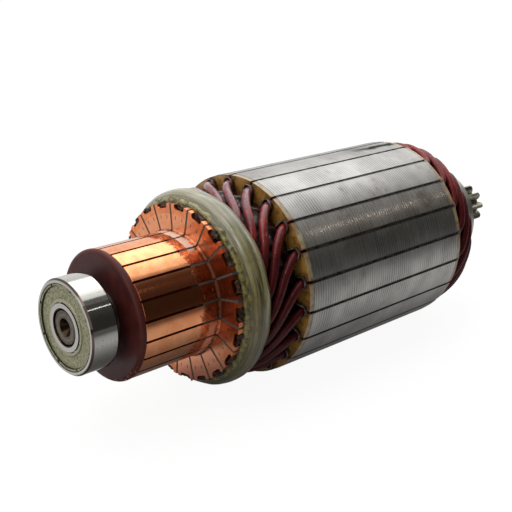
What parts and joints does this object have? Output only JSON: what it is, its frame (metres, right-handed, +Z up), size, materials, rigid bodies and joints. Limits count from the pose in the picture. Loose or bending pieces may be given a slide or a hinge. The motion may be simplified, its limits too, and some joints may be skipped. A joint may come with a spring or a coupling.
{
  "type": "motor armature",
  "caption": "Wound motor armature with a bar commutator, slotted steel core, hairpin coils, two ball bearings and a toothed shaft end.",
  "frame": {"origin": "on the shaft axis, at mid-width of the ball bearing at the commutator end", "axes": "+Y along the shaft towards the toothed drive end, +Z up, with one core slot straight down"},
  "size_m": [0.06, 0.1763, 0.06],
  "materials": {
    "shaft_steel": "turned steel with a darker cut pinion",
    "core_steel": "edges of stacked electrical steel sheets",
    "bearing_steel": "ground and polished bearing steel",
    "shield_steel": "yellow-passivated pressed steel",
    "cage_steel": "pressed steel",
    "copper": "turned copper, bright, varnished near the risers",
    "enamelled_wire": "red enamel on round copper wire, varnished",
    "amber_fibre": "varnished amber fibre board",
    "slot_paper": "grey-white insulating paper",
    "maroon_resin": "moulded maroon-brown resin",
    "glass_banding": "resin-bonded glass-fibre banding, greenish"
  },
  "bodies": {
    "rotor": {"rotor_shaft": "shaft_steel", "core_stack": "core_steel", "front_end_plate": "amber_fibre", "rear_end_plate": "amber_fibre", "slot_liners": "slot_paper", "commutator_hub": "maroon_resin", "banding_ring": "glass_banding", "commutator_bearing_inner_ring": "bearing_steel", "drive_bearing_inner_ring": "bearing_steel", "commutator_bar_01": "copper", "commutator_bar_02": "copper", "commutator_bar_03": "copper", "commutator_bar_04": "copper", "commutator_bar_05": "copper", "commutator_bar_06": "copper", "commutator_bar_07": "copper", "commutator_bar_08": "copper", "commutator_bar_09": "copper", "commutator_bar_10": "copper", "commutator_bar_11": "copper", "commutator_bar_12": "copper", "commutator_bar_13": "copper", "commutator_bar_14": "copper", "commutator_bar_15": "copper", "commutator_bar_16": "copper", "commutator_bar_17": "copper", "commutator_bar_18": "copper", "commutator_bar_19": "copper", "commutator_bar_20": "copper", "commutator_bar_21": "copper", "coil_01": "enamelled_wire", "coil_02": "enamelled_wire", "coil_03": "enamelled_wire", "coil_04": "enamelled_wire", "coil_05": "enamelled_wire", "coil_06": "enamelled_wire", "coil_07": "enamelled_wire", "coil_08": "enamelled_wire", "coil_09": "enamelled_wire", "coil_10": "enamelled_wire", "coil_11": "enamelled_wire", "coil_12": "enamelled_wire", "coil_13": "enamelled_wire", "coil_14": "enamelled_wire", "coil_15": "enamelled_wire", "coil_16": "enamelled_wire", "coil_17": "enamelled_wire", "coil_18": "enamelled_wire", "coil_19": "enamelled_wire", "coil_20": "enamelled_wire", "coil_21": "enamelled_wire"},
    "commutator_bearing_outer": {"commutator_bearing_outer_ring": "bearing_steel", "commutator_bearing_shields": "shield_steel"},
    "commutator_bearing_cage": {"commutator_bearing_cage": "cage_steel", "commutator_bearing_balls": "bearing_steel"},
    "drive_bearing_outer": {"drive_bearing_outer_ring": "bearing_steel", "drive_bearing_shields": "shield_steel"},
    "drive_bearing_cage": {"drive_bearing_cage": "cage_steel", "drive_bearing_balls": "bearing_steel"}
  },
  "joints": [
    {"name": "commutator_bearing_spin", "type": "hinge", "parent": "rotor", "child": "commutator_bearing_outer", "pos_m": [0, 0, 0], "axis": [0, 1, 0], "continuous": true},
    {"name": "commutator_cage_spin", "type": "hinge", "parent": "rotor", "child": "commutator_bearing_cage", "pos_m": [0, 0, 0], "axis": [0, 1, 0], "continuous": true},
    {"name": "drive_bearing_spin", "type": "hinge", "parent": "rotor", "child": "drive_bearing_outer", "pos_m": [0, 0.1465, 0], "axis": [0, 1, 0], "continuous": true},
    {"name": "drive_cage_spin", "type": "hinge", "parent": "rotor", "child": "drive_bearing_cage", "pos_m": [0, 0.1465, 0], "axis": [0, 1, 0], "continuous": true}
  ],
  "couplings": [
    {"joint": "commutator_cage_spin", "follows": "commutator_bearing_spin", "ratio": 0.6323},
    {"joint": "drive_cage_spin", "follows": "drive_bearing_spin", "ratio": 0.6191}
  ]
}
